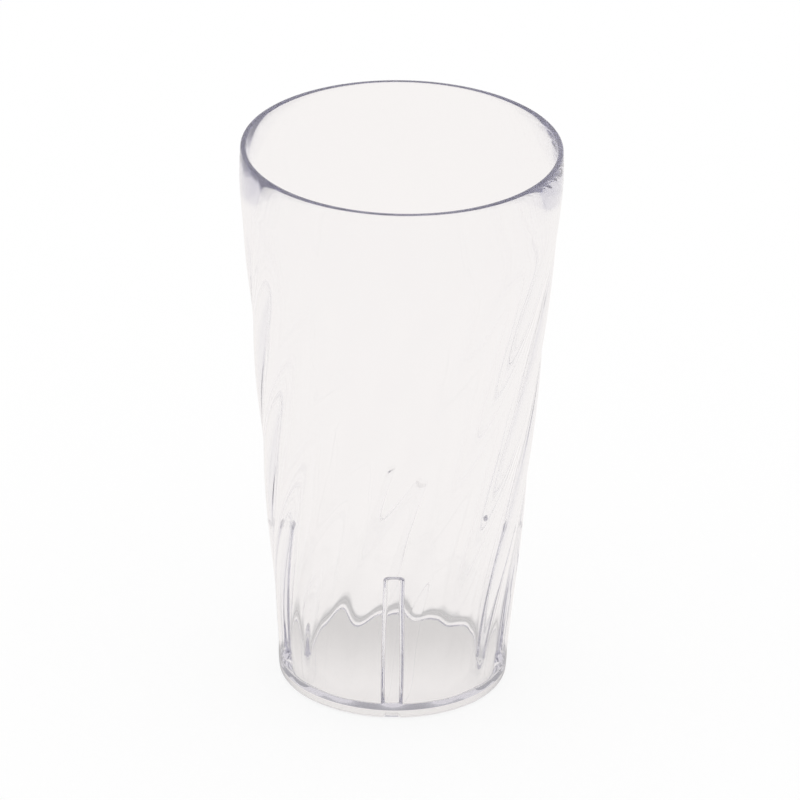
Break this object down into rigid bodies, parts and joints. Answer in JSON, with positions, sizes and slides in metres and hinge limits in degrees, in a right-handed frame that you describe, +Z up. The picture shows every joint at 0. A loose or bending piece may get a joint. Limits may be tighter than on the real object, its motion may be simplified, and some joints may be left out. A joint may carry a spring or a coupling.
{
  "type": "plastic tumbler",
  "caption": "Tall tapered drinking tumbler in clear moulded plastic, with swirled flutes in the wall, a plain rounded rim, stacking lugs inside and a foot ring.",
  "frame": {"origin": "centre of the foot ring, on the surface the tumbler stands on", "axes": "+Z up through the mouth; one stacking lug at -Y, which is the side the picture shows"},
  "size_m": [0.087, 0.087, 0.156],
  "materials": {
    "clear_plastic": "clear, gloss moulded"
  },
  "bodies": {
    "root": {"tumbler": "clear_plastic"}
  },
  "joints": []
}
